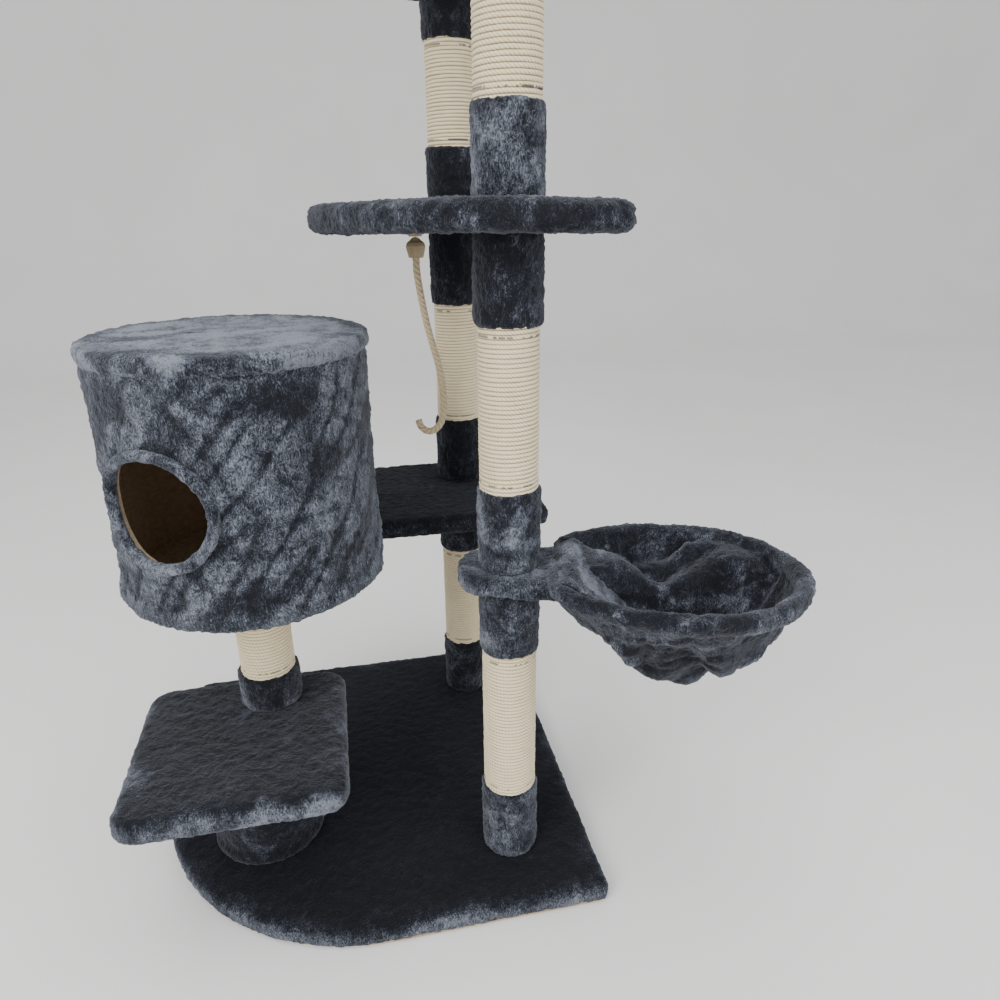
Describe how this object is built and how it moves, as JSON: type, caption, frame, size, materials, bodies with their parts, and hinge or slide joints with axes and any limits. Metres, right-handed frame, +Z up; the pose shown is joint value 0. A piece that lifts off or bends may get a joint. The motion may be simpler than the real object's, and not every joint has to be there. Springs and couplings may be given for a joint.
{
  "type": "cat tree",
  "caption": "Tall cat tree: sisal-wrapped posts on a plush base carry a barrel condo, shelf, platforms, bowl bed, swivelling hammock and a hanging rope toy.",
  "frame": {"origin": "centre of the base board's underside, on the floor", "axes": "+X to the right seen from the front, +Y to the back, +Z up"},
  "size_m": [1.0752, 0.9305, 1.6928],
  "materials": {
    "plush": "short plush pile, dark slate blue",
    "cushion_plush": "short plush pile, slate blue",
    "sisal": "natural sisal rope",
    "toy_rope": "twisted tan rope",
    "cardboard": "plain cardboard tube",
    "chipboard": "raw chipboard",
    "zinc_steel": "zinc plated",
    "tan_plastic": "matt"
  },
  "bodies": {
    "tree": {"base_board": "chipboard", "base_cover": "plush", "front_post_1_tube": "cardboard", "front_post_1_lower_sleeve": "plush", "front_post_1_sisal": "sisal", "front_post_1_upper_sleeve": "plush", "front_post_2_tube": "cardboard", "front_post_2_lower_sleeve": "plush", "front_post_2_sisal": "sisal", "front_post_2_upper_sleeve": "plush", "front_post_3_tube": "cardboard", "front_post_3_lower_sleeve": "plush", "front_post_3_sisal": "sisal", "front_post_3_upper_sleeve": "plush", "back_post_1_tube": "cardboard", "back_post_1_lower_sleeve": "plush", "back_post_1_sisal": "sisal", "back_post_1_upper_sleeve": "plush", "back_post_2_tube": "cardboard", "back_post_2_lower_sleeve": "plush", "back_post_2_sisal": "sisal", "back_post_2_upper_sleeve": "plush", "back_post_3_tube": "cardboard", "back_post_3_lower_sleeve": "plush", "back_post_3_sisal": "sisal", "back_post_3_upper_sleeve": "plush", "front_rod": "zinc_steel", "back_rod": "zinc_steel", "shelf_board": "chipboard", "shelf_cover": "plush", "platform_board": "chipboard", "platform_cover": "plush", "lookout_board": "chipboard", "lookout_cover": "plush", "bed_board": "chipboard", "bed_skin": "plush", "bed_bolster": "plush", "drum_core": "cardboard", "drum_cover": "plush", "step_board": "chipboard", "step_cover": "plush", "short_post_tube": "cardboard", "short_post_sleeve": "plush", "short_post_sisal": "sisal", "drum_bolt": "zinc_steel", "short_post_rod": "zinc_steel", "condo_floor": "chipboard", "condo_wall": "cardboard", "condo_skin": "plush", "condo_roof": "plush", "condo_door_trim": "plush", "toy_anchor": "tan_plastic"},
    "hammock": {"hammock_plate": "chipboard", "hammock_plate_cover": "plush", "hammock_hoop": "zinc_steel", "hammock_bag": "plush"},
    "toy_ferrule": {"toy_ferrule": "tan_plastic"},
    "toy_rope": {"toy_rope": "toy_rope"},
    "bed_cushion": {"bed_cushion": "cushion_plush"}
  },
  "joints": [
    {"name": "hammock_swivel", "type": "hinge", "parent": "tree", "child": "hammock", "pos_m": [0.244, -0.247, 0.5875], "axis": [0, 0, 1], "range_deg": [-60, 30]},
    {"name": "toy_swing", "type": "hinge", "parent": "tree", "child": "toy_ferrule", "pos_m": [0.138, -0.073, 1.0752], "axis": [0, 1, 0], "range_deg": [-40, 15]},
    {"name": "rope_tilt", "type": "hinge", "parent": "toy_ferrule", "child": "toy_rope", "pos_m": [0.138, -0.073, 1.0752], "axis": [1, 0, 0], "range_deg": [-10, 10]},
    {"name": "cushion_lift", "type": "slide", "parent": "tree", "child": "bed_cushion", "axis": [0, 0, 1], "range_m": [0, 0.2]}
  ]
}
